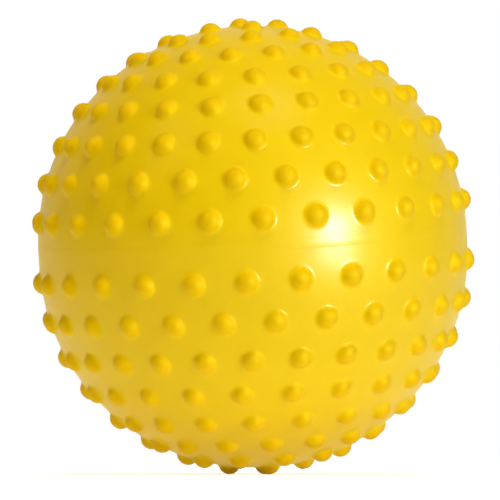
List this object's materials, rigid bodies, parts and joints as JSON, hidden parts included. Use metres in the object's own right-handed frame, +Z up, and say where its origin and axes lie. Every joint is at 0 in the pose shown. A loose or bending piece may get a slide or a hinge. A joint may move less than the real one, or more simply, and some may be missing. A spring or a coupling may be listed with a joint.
{
  "type": "playground ball",
  "caption": "Hollow air-filled playground ball of soft vinyl with rings of round moulded nubs, a faint parting line and a push-in valve plug that slides out.",
  "frame": {"origin": "on the ground under the middle of the ball, at the level of the three nub tips that it lies on", "axes": "+Z up; -Y towards the side that the picture shows; the mould axis leans 6.6 degrees from +Z, to the front and left, as the ball settles on three nubs"},
  "size_m": [0.2069, 0.2079, 0.2127],
  "materials": {
    "yellow_vinyl": "glossy soft vinyl, slightly satin",
    "seat_vinyl": "satin soft vinyl",
    "plug_plastic": "waxy natural white"
  },
  "bodies": {
    "ball": {"ball_skin": "yellow_vinyl", "valve_seat": "seat_vinyl"},
    "plug": {"valve_plug": "plug_plastic"}
  },
  "joints": [
    {"name": "plug_slide", "type": "slide", "parent": "ball", "child": "plug", "axis": [-0.0685, 0.818, 0.5711], "range_m": [0, 0.022]}
  ]
}
